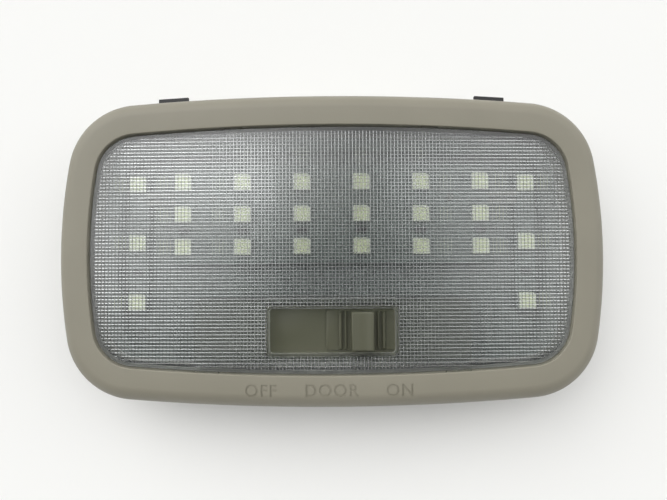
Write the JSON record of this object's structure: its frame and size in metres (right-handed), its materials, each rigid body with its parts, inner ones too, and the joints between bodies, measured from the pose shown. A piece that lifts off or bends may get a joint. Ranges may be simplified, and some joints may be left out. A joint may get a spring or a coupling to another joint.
{
  "type": "car dome light",
  "caption": "Oblong car dome light: crowned beige bezel, clear prismatic lens, LED boards behind it, and a three-position slide switch in a window of the lens.",
  "frame": {"origin": "middle of the body's rear rim, on the plane that the lamp lies on, below the middle of the bezel", "axes": "+X to the right along the lamp's length, +Y up across its width, away from the switch, +Z out of the lens"},
  "size_m": [0.165, 0.097, 0.0286],
  "materials": {
    "bezel_beige": "satin",
    "body_white": "satin",
    "lens_clear": "gloss",
    "tray_grey": "satin",
    "board_white": "satin",
    "foam": "matte",
    "resistor_black": "satin",
    "led": "gloss",
    "tinned_metal": "satin",
    "contact_brass": "satin",
    "spring_steel": "satin",
    "bracket_black": "satin",
    "screw_steel": "satin"
  },
  "bodies": {
    "lamp": {"bezel": "bezel_beige", "base": "body_white", "lens": "lens_clear", "reflector_tray": "tray_grey", "main_board": "board_white", "strip_left": "board_white", "strip_right": "board_white", "foam_pads": "foam", "board_resistors": "resistor_black", "link_strips": "tinned_metal", "feed_pins": "tinned_metal", "switch_frame": "bezel_beige", "detent_spring": "spring_steel", "bus_supply": "contact_brass", "bus_door": "contact_brass", "bus_ground": "contact_brass", "bus_lamp": "contact_brass", "tongue_left": "bracket_black", "tongue_right": "bracket_black", "spring_clip_left": "spring_steel", "spring_clip_right": "spring_steel", "bracket_screws": "screw_steel", "led_01": "led", "led_02": "led", "led_03": "led", "led_04": "led", "led_05": "led", "led_06": "led", "led_07": "led", "led_08": "led", "led_09": "led", "led_10": "led", "led_11": "led", "led_12": "led", "led_13": "led", "led_14": "led", "led_15": "led", "led_16": "led", "led_17": "led", "led_18": "led", "led_19": "led", "led_20": "led", "led_21": "led", "led_22": "led", "led_23": "led", "led_24": "led"},
    "slider": {"switch_slider": "bezel_beige", "slider_contact": "contact_brass"}
  },
  "joints": [
    {"name": "switch_slide", "type": "slide", "parent": "lamp", "child": "slider", "axis": [1, 0, 0], "range_m": [-0.0178, 0]}
  ]
}
